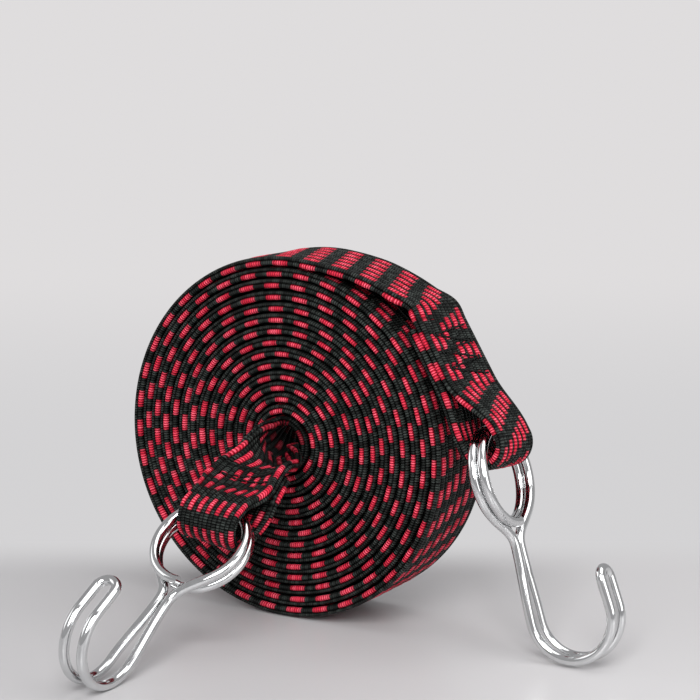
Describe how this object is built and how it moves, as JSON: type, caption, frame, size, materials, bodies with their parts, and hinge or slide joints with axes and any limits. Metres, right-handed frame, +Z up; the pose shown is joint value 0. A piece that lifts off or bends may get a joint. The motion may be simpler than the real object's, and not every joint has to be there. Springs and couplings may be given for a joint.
{
  "type": "flat bungee strap with hooks",
  "caption": "Woven elastic luggage strap rolled up on its edge, with a doubled wire hook held in a sewn loop at each end; it ties loads down.",
  "frame": {"origin": "middle of the flat under the roll, where it stands on a floor", "axes": "+Z up, Y along the roll's axis with the front lead towards -Y, +X towards the rear hook"},
  "size_m": [0.2235, 0.1663, 0.1508],
  "materials": {
    "webbing": "ribbed weave, crimson dashes on black",
    "rubber": "matt",
    "wire": "bright plated",
    "thread": "matt"
  },
  "bodies": {
    "strap": {"roll_webbing": "webbing", "roll_rubber": "rubber", "outer_lead_webbing": "webbing", "outer_lead_rubber": "rubber", "inner_lead_webbing": "webbing", "inner_lead_rubber": "rubber", "rear_loop_webbing": "webbing", "rear_loop_rubber": "rubber", "rear_needle_thread": "thread", "rear_bobbin_thread": "thread", "front_loop_webbing": "webbing", "front_loop_rubber": "rubber", "front_needle_thread": "thread", "front_bobbin_thread": "thread"},
    "front_hook": {"front_hook": "wire"},
    "rear_hook": {"rear_hook": "wire"}
  },
  "joints": [
    {"name": "front_hook_swing", "type": "hinge", "parent": "strap", "child": "front_hook", "pos_m": [-0.00301, -0.05797, 0.05154], "axis": [-0.9917, 0.039, 0.1229], "range_deg": [-65, 85]},
    {"name": "rear_hook_swing", "type": "hinge", "parent": "strap", "child": "rear_hook", "pos_m": [0.08905, -0.00443, 0.08398], "axis": [0, -0.9945, 0.1047], "range_deg": [-36, 150]}
  ]
}
